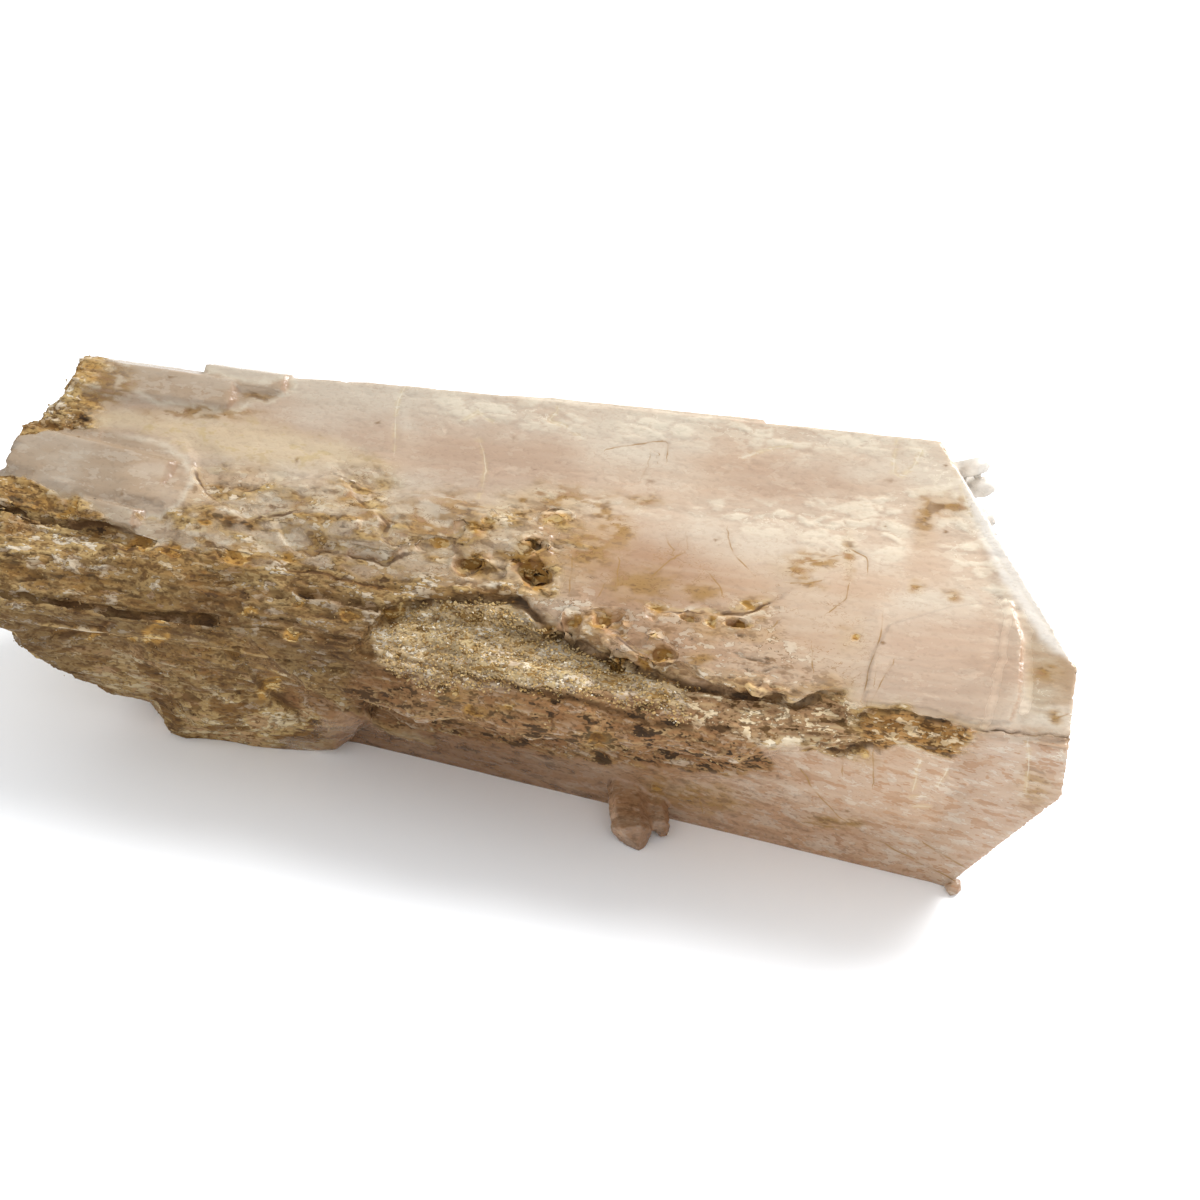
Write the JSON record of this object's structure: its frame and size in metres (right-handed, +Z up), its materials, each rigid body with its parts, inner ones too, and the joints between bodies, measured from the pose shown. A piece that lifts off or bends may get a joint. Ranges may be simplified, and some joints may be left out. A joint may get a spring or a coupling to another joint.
{
  "type": "danburite crystal",
  "caption": "Large chisel-tipped danburite crystal lying on its side, a smaller one grown along its lower flank, druse in the seam between them and crust over the broken end.",
  "frame": {"origin": "Under the middle of the piece, on its flat base.", "axes": "X runs along the crystal with the chisel tip at +X, Y runs from the pictured front to the back, Z is up."},
  "size_m": [0.1122, 0.0424, 0.0398],
  "materials": {
    "danburite": "cloudy pale pink crystal with satin faces, rough ochre crust at one end"
  },
  "bodies": {
    "root": {"danburite_crystal": "danburite"}
  },
  "joints": []
}
